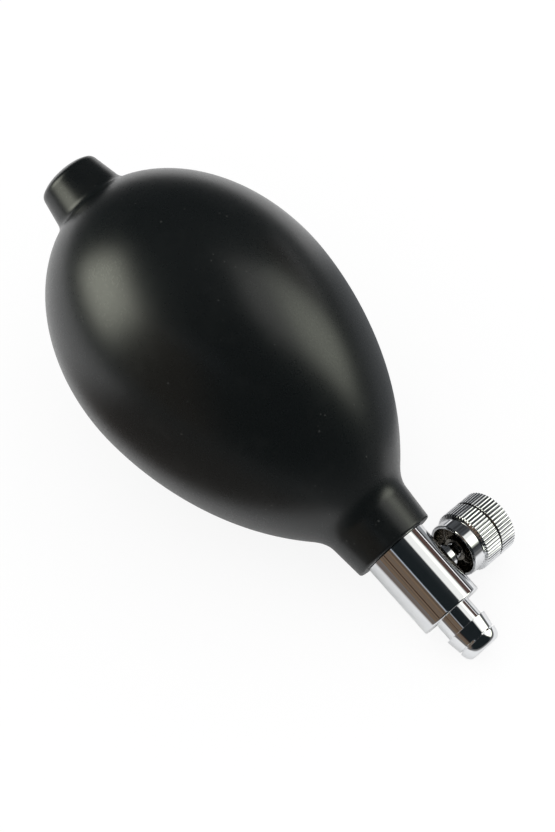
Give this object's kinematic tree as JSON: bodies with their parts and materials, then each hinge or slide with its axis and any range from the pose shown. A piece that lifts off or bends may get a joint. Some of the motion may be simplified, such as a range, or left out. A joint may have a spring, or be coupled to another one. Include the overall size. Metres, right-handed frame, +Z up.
{
  "type": "rubber squeeze bulb with air release valve",
  "caption": "Egg-shaped black rubber squeeze bulb with an intake valve in its tail and a chromed outlet valve with a knurled release knob and a ridged hose nipple.",
  "frame": {"origin": "centre of the footprint, on the surface that the bulb, the nipple and the release knob rest on", "axes": "+X towards the hose nipple's end, +Y towards the release knob, +Z up; the bulb's long axis lies in the XZ plane and points 19.23 degrees below +X"},
  "size_m": [0.1108, 0.052, 0.0547],
  "materials": {
    "bulb_rubber": "moulded black rubber, satin",
    "seal_rubber": "dull dark rubber",
    "chrome": "bright chrome plate on turned brass",
    "brass": "turned brass",
    "steel": "stainless steel wire and sheet"
  },
  "bodies": {
    "root": {"rubber_bulb": "bulb_rubber", "intake_sleeve": "brass", "intake_screen_ring": "chrome", "dust_screen": "steel", "intake_cage": "brass", "valve_body": "chrome", "outlet_seat": "brass", "outlet_spring": "steel", "spring_retainer": "brass", "release_seat": "brass", "gland_bush": "chrome", "hose_nipple": "chrome", "nipple_seal": "seal_rubber"},
    "intake_flap": {"intake_disc": "seal_rubber"},
    "outlet_valve": {"outlet_pad": "seal_rubber", "outlet_poppet": "brass"},
    "needle": {"needle_plug": "brass"},
    "release_screw": {"release_spindle": "chrome", "stop_ring": "steel", "release_knob": "chrome"}
  },
  "joints": [
    {"name": "intake_lift", "type": "slide", "parent": "root", "child": "intake_flap", "axis": [0.9442, 0, -0.3294], "range_m": [0, 0.0008]},
    {"name": "outlet_lift", "type": "slide", "parent": "root", "child": "outlet_valve", "axis": [0.9442, 0, -0.3294], "range_m": [0, 0.0009], "stiffness_N_per_m": 60, "springref_m": -0.001, "deforming": ["outlet_spring"]},
    {"name": "needle_feed", "type": "slide", "parent": "root", "child": "needle", "axis": [-0.0527, 0.9871, -0.1512], "range_m": [0, 0.001]},
    {"name": "knob_turn", "type": "hinge", "parent": "needle", "child": "release_screw", "pos_m": [0.03844, 0, 0.00874], "axis": [-0.0527, 0.9871, -0.1512], "range_deg": [0, 720]}
  ],
  "couplings": [
    {"joint": "needle_feed", "follows": "knob_turn", "m_per_rad": 0.000079577}
  ]
}
